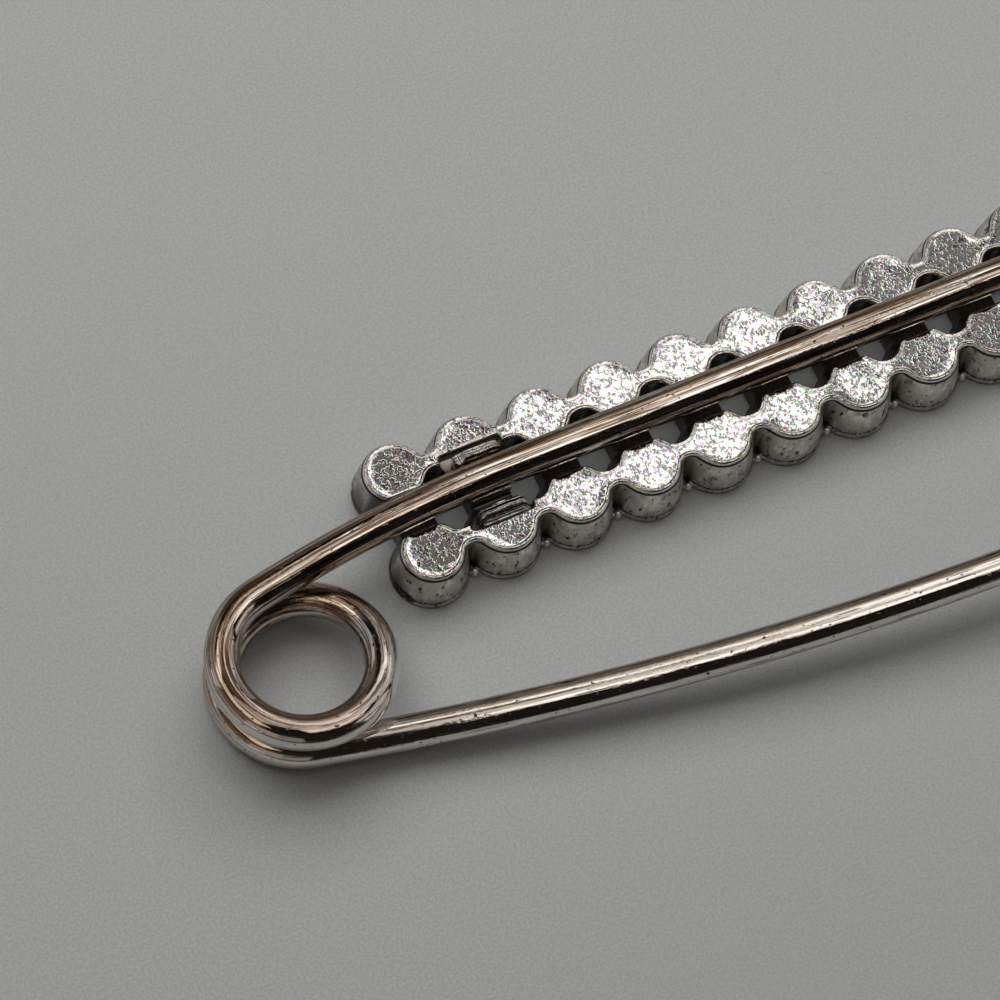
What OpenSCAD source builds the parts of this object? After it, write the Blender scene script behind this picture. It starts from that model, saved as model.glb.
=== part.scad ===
/* [Bar] */
// Number of stone settings in each of the two rows
cell_n = 12; // [6:1:14]
// Distance between neighbouring settings in a row
cell_pitch = 4.1; // [4.0:0.05:4.3]
// Distance between the centre lines of the two rows
row_pitch = 4.72; // [4.6:0.02:5.2]
// Thickness of the bar from the front rims to the back faces
bar_t = 2.72; // [2.7:0.02:3.2]
// Radius of a setting's back face
face_r = 1.57; // [1.5:0.01:1.65]
// Radius of a setting at its front rim
rim_r = 2.09; // [2.06:0.01:2.2]
// Height of the thin lip round the front rim
lip_h = 0.3; // [0.2:0.05:0.4]
// Depth of the groove above the lip
groove = 0.1; // [0.05:0.01:0.15]
// Half width of a neck between two settings, on its outer side
neck_out = 0.32; // [0.2:0.02:0.5]
// Half width of a neck between two settings, on its inner side
neck_in = 0.55; // [0.4:0.05:0.7]
// Radius of the bead tips between the front rims
bead_r = 0.35; // [0.3:0.05:0.5]
// Height of the bead tips
bead_h = 0.7; // [0.5:0.05:0.9]

/* [Stones] */
// Diameter of a stone
stone_d = 3.4; // [3.0:0.05:3.5]
// Height of a stone's crown, from its table to its girdle
crown_h = 0.5; // [0.4:0.05:0.6]
// Thickness of a stone's girdle
girdle_h = 0.12; // [0.08:0.01:0.2]
// Depth of a stone's pavilion, from its girdle to its tip
pavilion_h = 1.05; // [0.9:0.05:1.1]
// How far the stones' tables stand back from the front rims
table_inset = 0.1; // [0.05:0.01:0.15]
// Clearance between a stone and its setting
stone_gap = 0.04; // [0.02:0.01:0.06]

/* [Wire] */
// Diameter of the spring wire
wire_d = 1.8; // [1.5:0.05:2.0]
// Mean radius of the coil
coil_r = 3.98; // [3.6:0.02:4.6]
// Distance from the first settings to the coil's axis, along the bar
coil_back = 8.58; // [8.0:0.05:11]
// How far the back wire runs outside the coil's own circle
coil_sink = 1.4; // [0.8:0.1:2]
// Radius of the gentle bend that leads the back wire into the coil
bend_r = 72; // [50:1:90]
// How far the wire comes down along the coil's one and a half turns
coil_drop = 3.4; // [3.3:0.05:3.6]
// Height of the coil's lean towards the front of the picture
coil_lean = 0.47; // [0.4:0.01:0.5]
// Angle between the pin arm and the bar where the arm leaves the coil
arm_splay = 13.7; // [12:0.1:15]
// Radius of the pin arm's outward bow
bow_r = 200; // [180:5:260]
// Rise of the pin arm towards the clasp, per unit of length
arm_rise = 0.045; // [0.03:0.005:0.06]
// Length of the pin arm's tapered point
point_l = 6; // [4:0.5:8]
// Radius at the very tip of the point
tip_r = 0.12; // [0.08:0.02:0.3]

/* [Crimps] */
// Depth of the open channel under the wire
channel_h = 0.8; // [0.6:0.05:0.8]
// Clearance between the wire and the bar
wire_gap = 0.05; // [0.03:0.01:0.1]
// Length of a crimp along the wire
crimp_l = 2.2; // [1.6:0.1:2.6]
// Height of a crimp's tabs above the back faces
crimp_h = 1.25; // [1:0.05:1.4]
// Thickness of a crimp's tabs
crimp_t = 0.6; // [0.4:0.05:0.7]
// Distance from the wire to the open tab of a crimp
open_tab_gap = 0.55; // [0.3:0.05:0.7]
// Depth of the recess round a crimp
recess_h = 0.5; // [0.3:0.05:0.5]

/* [Clasp] */
// Distance from the bar's end to the mouth of the hood
hood_off = 1; // [0.6:0.1:3]
// Length of the hood
hood_l = 14; // [13:0.5:18]
// Outer thickness of the hood
hood_t = 3.6; // [3.5:0.1:5]
// Wall of the hood
hood_wall = 0.5; // [0.4:0.05:0.7]
// Radius of the hood's far corners
hood_corner = 5; // [3:0.5:6]
// Clearance between the pin arm and the hood's side wall
arm_gap = 0.06; // [0.04:0.01:0.1]
// Width of the closed strip that holds the back wire
grip_w = 1.3; // [1.1:0.1:2]
// Width of the hood's upper sheet over the point
cover_w = 6; // [5:0.5:7]
// How far the pin's tip reaches into the hood
tip_in = 7.8; // [6:0.1:8.5]
// How far the back wire reaches into the hood
wire_in = 9; // [6:0.5:10]

/* [Hidden] */
$fn = 96;
tube_sides = 16;
nick = 0.05;
wire_r = wire_d / 2;
row_y = row_pitch / 2;
bar_end = (cell_n - 1) * cell_pitch + rim_r;
crimp_cells = [1, cell_n - 2];
// Centre height of the back wire, which lies on the back faces' plane
wire_z = bar_t + wire_r;

// The setting's wall bulges a little between the lip and the back face
shoulder = (rim_r - face_r) * 0.3;
waist_r = rim_r - groove;
belly_r = face_r + (rim_r - face_r) * 0.68;
// How far the bead tips stand outside their row's centre line
bead_y = rim_r * 0.48;

// Blends of the necks: circles that touch both neighbouring back faces
half_pitch = cell_pitch / 2;
function blend_r(h) = (pow(half_pitch, 2) + h * h - face_r * face_r) / (2 * (face_r - h));
function touch_y(h) = face_r * (h + blend_r(h)) / (face_r + blend_r(h));

// Coil: the wire joins its circle at coil_from and leaves it at coil_to, in degrees
join_angle = acos((bend_r - coil_r - coil_sink) / (bend_r - coil_r));
coil_from = 90 + join_angle;
coil_to = 630 - arm_splay;
coil_c = [-coil_back, -coil_r - coil_sink];
bend_x = coil_c[0] + (bend_r - coil_r) * sin(join_angle);
// The coil is parted under the back wire, with a narrow seam
seam = 455;
seam_half = 1;
ease_w = 0.2;
ease_mid = 1 - ease_w;
function ease_in(t) = t < ease_w ? t * t / (2 * ease_w) : t - ease_w / 2;
function ease_out(t) = t > ease_mid ? pow(t - ease_mid, 2) / (2 * ease_w) : 0;
function ease(t) = (ease_in(t) - ease_out(t)) / ease_mid;
function coil_z(a) = wire_z - coil_drop * ease((a - coil_from) / (coil_to - coil_from))
    + coil_lean * (1 - cos(a - coil_from));
function coil_p(a) = [coil_c[0] + coil_r * cos(a), coil_c[1] + coil_r * sin(a), coil_z(a)];

// Pin arm: an arc from the end of the coil
arm_0 = coil_p(coil_to);
function turned(s) = s / bow_r * 180 / PI - arm_splay;
function arm_p(s) = [
    arm_0[0] + bow_r * (sin(turned(s)) + sin(arm_splay)),
    arm_0[1] - bow_r * (cos(turned(s)) - cos(arm_splay)),
    arm_0[2] + arm_rise * s];
function arm_s(x) = (asin((x - arm_0[0]) / bow_r - sin(arm_splay)) + arm_splay) * PI / 180 * bow_r;

// Hood: its flat middle lies between two rounded sides
hood_r = hood_t / 2;
hood_in = hood_r - hood_wall;
mouth_x = bar_end + hood_off;
hood_end = mouth_x + hood_l;
arm_l = arm_s(mouth_x + tip_in);
hood_side = arm_p(arm_s(mouth_x))[1] - wire_r - arm_gap + hood_in;
wire_end = mouth_x + wire_in;

// The origin is under the middle of the whole pin
low = [coil_c[0] - coil_r - wire_r, hood_side - hood_r];
high = [hood_end, row_y + rim_r];
middle = (low + high) / 2;

// A round tube along a list of points, with a radius for each
function unit(v) = v / norm(v);
function along(p, i) = unit(p[min(i + 1, len(p) - 1)] - p[max(i - 1, 0)]);
function side(t) = unit(cross(t, [0, 0, 1]));
function ring(c, t, r) = [for (j = [0:tube_sides - 1])
    let (a = 360 * j / tube_sides)
    c + r * (cos(a) * side(t) + sin(a) * cross(side(t), t))];
module tube(path, radii) {
    n = len(path);
    rings = [for (i = [0:n - 1]) each ring(path[i], along(path, i), radii[i])];
    walls = [for (i = [0:n - 2], j = [0:tube_sides - 1])
        let (k = (j + 1) % tube_sides)
        [i * tube_sides + j, i * tube_sides + k, (i + 1) * tube_sides + k, (i + 1) * tube_sides + j]];
    first = [for (j = [tube_sides - 1:-1:0]) j];
    last = [for (j = [0:tube_sides - 1]) (n - 1) * tube_sides + j];
    polyhedron(points = rings, faces = concat(walls, [first, last]), convexity = 6);
}

module placed() {
    translate([-middle[0], -middle[1], 0]) children();
}

// One setting: a drum that flares from its back face to a lipped rim
module setting() {
    rotate_extrude()
        polygon([
            [0, 0], [rim_r, 0], [rim_r, lip_h], [waist_r, lip_h + groove / 2], [waist_r, lip_h + groove * 2],
            [belly_r, bar_t / 2], [face_r + shoulder / 2, bar_t - shoulder], [face_r, bar_t - nick], [0, bar_t]]);
}

// The cup for the stone, open at the front
module cup() {
    seat_r = stone_d / 2 + stone_gap;
    floor_z = table_inset + crown_h + girdle_h + stone_gap;
    tip_z = floor_z + pavilion_h + stone_gap;
    rotate_extrude()
        polygon([[0, -1], [seat_r, -1], [seat_r, floor_z], [stone_gap, tip_z], [0, tip_z]]);
}

// The neck between one setting and the next of its row, seen from the back
module neck_plan() {
    difference() {
        translate([0, -touch_y(neck_in)])
            square([cell_pitch, touch_y(neck_in) + touch_y(neck_out)]);
        translate([half_pitch, neck_out + blend_r(neck_out)])
            circle(blend_r(neck_out));
        translate([half_pitch, -neck_in - blend_r(neck_in)])
            circle(blend_r(neck_in));
    }
}

// A bead tip between two rims, at the end of a small rib from the neck
module bead() {
    translate([0, bead_y, 0]) cylinder(r = bead_r, h = bead_h);
    translate([-bead_r / 2, 0, 0]) cube([bead_r, bead_y, bead_h]);
}

// A row above the wire; the row below is its mirror image
module row() {
    for (i = [0:cell_n - 1])
        translate([i * cell_pitch, row_y, 0]) setting();
    for (i = [0:cell_n - 2])
        translate([i * cell_pitch, row_y, lip_h])
            linear_extrude(bar_t - nick - lip_h) neck_plan();
    for (i = [0:cell_n - 2])
        translate([(i + 0.5) * cell_pitch, row_y, nick]) bead();
}

// The bridges under the wire, which join the rows
module bridges() {
    bridge_w = cell_pitch - 2 * blend_r(neck_in);
    for (i = [0:cell_n - 1])
        translate([i * cell_pitch - bridge_w / 2, -row_y, lip_h])
            cube([bridge_w, row_pitch, bar_t - channel_h - lip_h]);
}

// One crimp: a saddle, a tab bent against the wire and a tab that stands open
module crimp() {
    hug_y = wire_r + wire_gap;
    translate([-crimp_l / 2, -row_y, bar_t - channel_h - nick])
        cube([crimp_l, row_pitch, channel_h - wire_gap + nick]);
    translate([-crimp_l / 2, hug_y - crimp_t / 2, bar_t - channel_h])
        cube([crimp_l, crimp_t * 1.2, channel_h + crimp_h]);
    translate([-crimp_l / 2, -wire_r - open_tab_gap - crimp_t, bar_t - channel_h])
        cube([crimp_l, crimp_t, channel_h + crimp_h - nick]);
}

module bar() {
    color([0.82, 0.82, 0.8])
    placed()
    difference() {
        union() {
            difference() {
                union() {
                    row();
                    mirror([0, 1, 0]) row();
                    bridges();
                }
                // The open channel under the wire
                translate([-cell_pitch, -wire_r - wire_gap * 4, bar_t - channel_h])
                    cube([(cell_n + 1) * cell_pitch, wire_d + wire_gap * 8, channel_h + 1]);
                for (i = crimp_cells)
                    translate([i * cell_pitch - face_r, -row_y, bar_t - recess_h])
                        cube([face_r * 2, row_pitch - wire_gap * 4, recess_h + 1]);
            }
            for (i = crimp_cells)
                translate([i * cell_pitch, 0, 0]) crimp();
        }
        // Room for the wire through the crimps
        translate([-cell_pitch, 0, wire_z])
            rotate([0, 90, 0])
                cylinder(r = wire_r + wire_gap, h = (cell_n + 1) * cell_pitch);
        for (i = [0:cell_n - 1], s = [-1, 1])
            translate([i * cell_pitch, s * row_y, 0]) cup();
    }
}

// A round stone with its table towards the front
module stone(i, s) {
    r = stone_d / 2;
    table_z = table_inset;
    girdle_z = table_z + crown_h;
    back_z = girdle_z + girdle_h;
    tip_z = back_z + pavilion_h;
    pts = concat(
        [for (k = [0:7]) [r * 0.56 * cos(45 * k), r * 0.56 * sin(45 * k), table_z]],
        [for (k = [0:7]) [r * 0.8 * cos(45 * k + 22.5), r * 0.8 * sin(45 * k + 22.5), table_z + crown_h * 0.48]],
        [for (k = [0:15]) [r * cos(22.5 * k), r * sin(22.5 * k), girdle_z]],
        [for (k = [0:15]) [r * cos(22.5 * k), r * sin(22.5 * k), back_z]],
        [[0, 0, tip_z]]);
    table = [[for (k = [0:7]) k]];
    stars = [for (k = [0:7]) [k, 8 + k, (k + 1) % 8]];
    kites = [for (k = [0:7]) each [[k, 16 + 2 * k, 8 + k], [k, 8 + (k + 7) % 8, 16 + 2 * k]]];
    uppers = [for (k = [0:7]) each [
        [8 + k, 16 + 2 * k, 17 + 2 * k], [8 + k, 17 + 2 * k, 16 + (2 * k + 2) % 16]]];
    girdle = [for (k = [0:15]) [16 + k, 32 + k, 32 + (k + 1) % 16, 16 + (k + 1) % 16]];
    pavilion = [for (k = [0:15]) [32 + k, 48, 32 + (k + 1) % 16]];
    color([0.9, 0.95, 1, 0.5])
        placed()
            translate([i * cell_pitch, s * row_y, 0])
                polyhedron(points = pts, faces = concat(table, stars, kites, uppers, girdle, pavilion));
}

module back_wire() {
    arc_steps = 10;
    coil_step = 7.5;
    end_a = seam - seam_half;
    coil_steps = round((end_a - coil_from) / coil_step);
    straight = [[wire_end, 0, wire_z]];
    arc = [for (i = [0:arc_steps - 1])
        let (a = join_angle * i / arc_steps)
        [bend_x - bend_r * sin(a), -bend_r * (1 - cos(a)), wire_z]];
    turns = [for (i = [0:coil_steps]) coil_p(coil_from + (end_a - coil_from) * i / coil_steps)];
    path = concat(straight, arc, turns);
    color([0.6, 0.56, 0.52])
        placed() tube(path, [for (p = path) wire_r]);
}

module pin_wire() {
    coil_steps = 22;
    arm_steps = 14;
    point_steps = 6;
    start_a = seam + seam_half;
    shaft_l = arm_l - point_l;
    turns = [for (i = [0:coil_steps - 1]) coil_p(start_a + (coil_to - start_a) * i / coil_steps)];
    shaft = [for (i = [0:arm_steps]) arm_p(shaft_l * i / arm_steps)];
    point = [for (i = [1:point_steps]) arm_p(shaft_l + point_l * i / point_steps)];
    radii = concat(
        [for (p = turns) wire_r],
        [for (p = shaft) wire_r],
        [for (i = [1:point_steps]) tip_r + (wire_r - tip_r) * (1 - pow(i / point_steps, 1.6))]);
    color([0.6, 0.56, 0.52])
        placed() tube(concat(turns, shaft, point), radii);
}

// A flat hollow form with round sides and a rounded far end, shrunk by the inset
module hood_form(inset, from_x) {
    r = hood_r - inset;
    far_x = hood_end - inset;
    corner = hood_corner - inset;
    intersection() {
        translate([from_x, 0, wire_z])
            rotate([90, 0, 90])
                linear_extrude(far_x - from_x)
                    union() {
                        translate([hood_side, -r]) square([-hood_side, 2 * r]);
                        circle(r);
                        translate([hood_side, 0]) circle(r);
                    }
        translate([0, 0, wire_z - hood_r])
            linear_extrude(hood_t)
                union() {
                    translate([from_x, hood_side - r])
                        square([far_x - corner - from_x, 2 * r - hood_side]);
                    translate([from_x, hood_side - r + corner])
                        square([far_x - from_x, 2 * (r - corner) - hood_side]);
                    translate([far_x - corner, hood_side - r + corner]) circle(corner);
                    translate([far_x - corner, r - corner]) circle(corner);
                }
        translate([0, 2 * hood_r, wire_z])
            rotate([90, 0, 0])
                linear_extrude(4 * hood_r - hood_side)
                    union() {
                        translate([from_x, -r]) square([far_x - r - from_x, 2 * r]);
                        translate([far_x - r, 0]) circle(r);
                    }
    }
}

module clasp_cap() {
    grip_y = -wire_r - grip_w;
    cover_y = hood_side - hood_r + cover_w;
    color([0.72, 0.72, 0.72])
        placed()
            difference() {
                hood_form(0, mouth_x);
                // The hollow for the pin's point
                intersection() {
                    hood_form(hood_wall, mouth_x - 1);
                    translate([mouth_x - 2, hood_side - hood_t, 0])
                        cube([hood_l + 4, grip_y - hood_side + hood_t, wire_z + hood_t]);
                }
                // The open half of the upper sheet, where the point is lifted out
                translate([mouth_x - 1, cover_y, wire_z])
                    cube([hood_l - hood_corner + 1, grip_y - cover_y, hood_t]);
                // The bore round the back wire
                translate([mouth_x - 1, 0, wire_z])
                    rotate([0, 90, 0])
                        cylinder(r = wire_r + wire_gap, h = wire_in + 1 + wire_gap);
            }
}

bar();
back_wire();
pin_wire();
clasp_cap();
for (i = [1:cell_n]) {
    stone(i - 1, 1);
    stone(i - 1, -1);
}
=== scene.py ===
import math

import bpy
import numpy as np
from mathutils import Matrix, Vector


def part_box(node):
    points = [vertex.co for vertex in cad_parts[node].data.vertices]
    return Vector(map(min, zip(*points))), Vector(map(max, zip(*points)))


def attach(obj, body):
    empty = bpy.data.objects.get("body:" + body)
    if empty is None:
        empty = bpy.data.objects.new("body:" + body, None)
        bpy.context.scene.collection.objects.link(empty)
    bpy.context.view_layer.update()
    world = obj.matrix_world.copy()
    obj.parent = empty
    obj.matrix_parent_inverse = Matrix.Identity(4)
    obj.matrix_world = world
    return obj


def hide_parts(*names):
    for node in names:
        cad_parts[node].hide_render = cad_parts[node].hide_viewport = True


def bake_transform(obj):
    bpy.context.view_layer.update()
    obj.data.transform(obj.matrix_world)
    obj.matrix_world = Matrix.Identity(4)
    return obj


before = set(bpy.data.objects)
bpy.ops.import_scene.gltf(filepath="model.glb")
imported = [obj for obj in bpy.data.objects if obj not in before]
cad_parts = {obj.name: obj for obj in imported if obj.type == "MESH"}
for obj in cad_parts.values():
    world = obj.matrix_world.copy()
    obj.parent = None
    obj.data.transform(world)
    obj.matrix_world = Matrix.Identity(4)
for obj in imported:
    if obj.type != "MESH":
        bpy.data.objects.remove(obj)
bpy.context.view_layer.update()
mm = 0.001


def meshPiece(name, verts, faces, material, edges=()):
    mesh = bpy.data.meshes.new(name)
    mesh.from_pydata([tuple(v) for v in verts], list(edges), [tuple(f) for f in faces])
    mesh.update()
    piece = bpy.data.objects.new(name, mesh)
    bpy.context.scene.collection.objects.link(piece)
    if material:
        mesh.materials.append(material)
    return piece


# Small helpers for node trees
def feed(tree, node, links):
    # Links the sockets, and sets the plain values
    for key, value in links.items():
        if isinstance(value, bpy.types.NodeSocket):
            tree.links.new(value, node.inputs[key])
        else:
            node.inputs[key].default_value = value


def addNode(tree, kind, links=None, **settings):
    node = tree.nodes.new(kind)
    for key, value in settings.items():
        setattr(node, key, value)
    feed(tree, node, links or {})
    return node


def mathNode(tree, operation, a, b=None, c=None):
    links = {i: v for i, v in enumerate((a, b, c)) if v is not None}
    return addNode(tree, "ShaderNodeMath", links, operation=operation).outputs[0]


def times(tree, a, b):
    return mathNode(tree, "MULTIPLY", a, b)


def weighed(tree, total, shares, **patterns):
    # Adds each pattern times its share
    for name, pattern in patterns.items():
        total = mathNode(tree, "MULTIPLY_ADD", pattern, shares[name], total)
    return total


def ramp(tree, value, low, high, toLow=0.0, toHigh=1.0):
    links = {"Value": value, "From Min": low, "From Max": high, "To Min": toLow, "To Max": toHigh}
    return addNode(tree, "ShaderNodeMapRange", links, interpolation_type="SMOOTHSTEP").outputs[0]


def scaled(tree, vector, scale):
    return addNode(tree, "ShaderNodeVectorMath", {0: vector, "Scale": scale}, operation="SCALE").outputs[0]


def parts(tree, vector):
    return addNode(tree, "ShaderNodeSeparateXYZ", {0: vector}).outputs


def largest(tree, first, *others):
    for other in others:
        first = mathNode(tree, "MAXIMUM", first, other)
    return first


def mixColour(tree, amount, a, b):
    # Takes sockets or plain colours
    a, b = (c if isinstance(c, bpy.types.NodeSocket) else (*c, 1) for c in (a, b))
    return addNode(tree, "ShaderNodeMix", {0: amount, 6: a, 7: b}, data_type="RGBA").outputs[2]


def newMaterial(name):
    material = bpy.data.materials.new(name)
    material.use_nodes = True
    tree = material.node_tree
    tree.nodes.clear()
    shader = addNode(tree, "ShaderNodeBsdfPrincipled")
    addNode(tree, "ShaderNodeOutputMaterial", {0: shader.outputs[0]})
    return material, tree, shader


def objectSpot(tree, scale=(1, 1, 1)):
    # Object coordinates in millimetres, stretched by the scale
    spot = tree.nodes.new("ShaderNodeTexCoord").outputs["Object"]
    size = [s / mm for s in scale]
    return addNode(tree, "ShaderNodeVectorMath", {0: spot, 1: size}, operation="MULTIPLY").outputs[0]


def layer(tree, spot, look):
    # One noise pattern: its scale for each millimetre, and the range of it that shows
    links = {"Vector": spot, "Scale": look["scale"], "Detail": look.get("detail", 3.0),
             "Roughness": look.get("rough", 0.6)}
    value = addNode(tree, "ShaderNodeTexNoise", links).outputs["Fac"]
    return ramp(tree, value, *look["range"]) if "range" in look else value


def addBump(tree, shader, height, deep, strength=1.0):
    links = {"Height": height, "Strength": strength, "Distance": deep * mm}
    feed(tree, shader, {"Normal": addNode(tree, "ShaderNodeBump", links).outputs[0]})


def namedValue(tree, name, output="Fac"):
    return addNode(tree, "ShaderNodeAttribute", attribute_name=name).outputs[output]


# Small helpers for meshes
def settle(piece, modifier):
    # Turns what a modifier makes into the piece's own plain mesh
    graph = bpy.context.evaluated_depsgraph_get()
    made = bpy.data.meshes.new_from_object(piece.evaluated_get(graph), depsgraph=graph)
    piece.modifiers.remove(modifier)
    old = piece.data
    piece.data = made
    bpy.data.meshes.remove(old)
    made.name = piece.name


def runTree(piece, tree, values):
    # Sets the tree's inputs by their identifiers
    modifier = piece.modifiers.new("make", "NODES")
    modifier.node_group = tree
    names = {item.name: item.identifier for item in tree.interface.items_tree if item.in_out == "INPUT"}
    for name, value in values.items():
        modifier[names[name]] = value
    settle(piece, modifier)


def thin(piece, most):
    # Merges the flattest faces until the piece is light enough
    piece.data.calc_loop_triangles()
    count = len(piece.data.loop_triangles)
    if count > most:
        modifier = piece.modifiers.new("thin", "DECIMATE")
        modifier.ratio = most / count
        settle(piece, modifier)


def smooth(piece):
    for polygon in piece.data.polygons:
        polygon.use_smooth = True


def addValues(piece, name, values):
    attribute = piece.data.attributes.new(name, "FLOAT", "POINT")
    attribute.data.foreach_set("value", values.astype(np.float32))


def newTree(name, **inputs):
    # A geometry tree with its named inputs, which runTree sets
    tree = bpy.data.node_groups.new(name, "GeometryNodeTree")
    face = tree.interface
    face.new_socket("Geometry", in_out="INPUT", socket_type="NodeSocketGeometry")
    for kind, names in inputs.items():
        for socket in names:
            face.new_socket(socket, in_out="INPUT", socket_type="NodeSocket" + kind)
    face.new_socket("Geometry", in_out="OUTPUT", socket_type="NodeSocketGeometry")
    return tree, tree.nodes.new("NodeGroupInput").outputs


def endTree(tree, solid, material):
    solid = addNode(tree, "GeometryNodeSetShadeSmooth", {"Geometry": solid}).outputs[0]
    solid = addNode(tree, "GeometryNodeRealizeInstances", {"Geometry": solid}).outputs[0]
    links = {"Geometry": solid, "Material": material}
    solid = addNode(tree, "GeometryNodeSetMaterial", links).outputs[0]
    addNode(tree, "NodeGroupOutput", {0: solid})


def store(tree, solid, name, value, kind="FLOAT"):
    links = {"Geometry": solid, "Name": name, "Value": value}
    return addNode(tree, "GeometryNodeStoreNamedAttribute", links, data_type=kind,
                   domain="POINT").outputs[0]


# A smooth solid from a distance field: one point in each grid cell that the surface crosses,
# joined with its neighbours round each grid edge that runs through the surface
def crossingPoints(value, mixed, corners):
    # The middle of the places where a cell's edges cross the surface
    total = np.zeros((len(mixed), 3))
    hits = np.zeros(len(mixed))
    for start in corners:
        for axis in range(3):
            if start[axis]:
                continue
            end = list(start)
            end[axis] = 1
            p = mixed + start
            q = mixed + end
            fp = value[p[:, 0], p[:, 1], p[:, 2]]
            fq = value[q[:, 0], q[:, 1], q[:, 2]]
            crossed = (fp < 0) != (fq < 0)
            t = np.where(crossed, fp / np.where(crossed, fp - fq, 1), 0)
            spot = np.repeat(np.array([start], dtype=float), len(mixed), axis=0)
            spot[:, axis] = t
            total += spot * crossed[:, None]
            hits += crossed
    return mixed + total / hits[:, None]


def crossingFaces(solid, index):
    faces = []
    count = solid.shape
    for axis in range(3):
        near = [slice(1, n - 1) for n in count]
        far = list(near)
        near[axis] = slice(0, count[axis] - 1)
        far[axis] = slice(1, count[axis])
        here = solid[tuple(near)]
        edges = np.argwhere(here != solid[tuple(far)])
        outward = here[edges[:, 0], edges[:, 1], edges[:, 2]]
        u = (axis + 1) % 3
        v = (axis + 2) % 3
        edges[:, u] += 1
        edges[:, v] += 1
        quad = []
        for du, dv in ((-1, -1), (0, -1), (0, 0), (-1, 0)):
            cell = edges.copy()
            cell[:, u] += du
            cell[:, v] += dv
            quad.append(index[cell[:, 0], cell[:, 1], cell[:, 2]])
        quad = np.stack(quad, axis=1)
        quad[~outward] = quad[~outward][:, ::-1]
        faces.append(quad)
    return np.concatenate(faces)


def slideOnto(field, verts, step):
    # Moves each point towards the true surface
    probe = step * 0.25
    p = [verts[:, k] for k in range(3)]
    slope = np.zeros_like(verts)
    for k in range(3):
        ahead = list(p)
        behind = list(p)
        ahead[k] = p[k] + probe
        behind[k] = p[k] - probe
        slope[:, k] = (field(*ahead) - field(*behind)) / (2 * probe)
    size = np.maximum((slope ** 2).sum(axis=1), 0.2)
    move = -slope * (field(*p) / size)[:, None]
    far = np.linalg.norm(move, axis=1)
    move *= np.minimum(1, step * 0.6 / np.maximum(far, 1e-9))[:, None]
    return verts + move


def surfaceFrom(field, low, high, step, rounds=2):
    low = np.array(low, dtype=float)
    step = np.array(step, dtype=float)
    count = np.ceil((np.array(high) - low) / step).astype(int) + 1
    axes = [low[k] + step[k] * np.arange(count[k]) for k in range(3)]
    x, y, z = np.meshgrid(*axes, indexing="ij", sparse=True)
    value = np.broadcast_to(field(x, y, z), tuple(count)).astype(np.float32)
    solid = value < 0
    cells = tuple(count - 1)
    some = np.zeros(cells, dtype=bool)
    every = np.ones(cells, dtype=bool)
    corners = [(a, b, c) for a in (0, 1) for b in (0, 1) for c in (0, 1)]
    for a, b, c in corners:
        part = solid[a:a + cells[0], b:b + cells[1], c:c + cells[2]]
        some |= part
        every &= part
    mixed = np.argwhere(some & ~every)
    index = np.full(cells, -1, dtype=np.int64)
    index[mixed[:, 0], mixed[:, 1], mixed[:, 2]] = np.arange(len(mixed))
    verts = low + crossingPoints(value, mixed, corners) * step
    for _ in range(rounds):
        verts = slideOnto(field, verts, min(step))
    return verts, crossingFaces(solid, index)


def roundMax(a, b, r):
    # The deeper of two fields, with the edge between them rounded
    return np.maximum(a, b) + np.maximum(r - np.abs(a - b), 0) ** 2 / (4 * r)


def roundMin(a, b, r):
    return -roundMax(-a, -b, r)


def profile(z, rows):
    # Reads a size against a height, from rows of height and size
    heights, sizes = zip(*rows)
    return np.interp(z, heights, sizes)


def fade(value, start, end):
    t = np.clip((value - start) / (end - start), 0, 1)
    return t * t * (3 - 2 * t)


def boxField(x, y, z, low, high, r):
    fx = np.maximum(low[0] - x, x - high[0])
    fy = np.maximum(low[1] - y, y - high[1])
    fz = np.maximum(low[2] - z, z - high[2])
    return roundMax(roundMax(fx, fy, r), fz, r)


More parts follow.
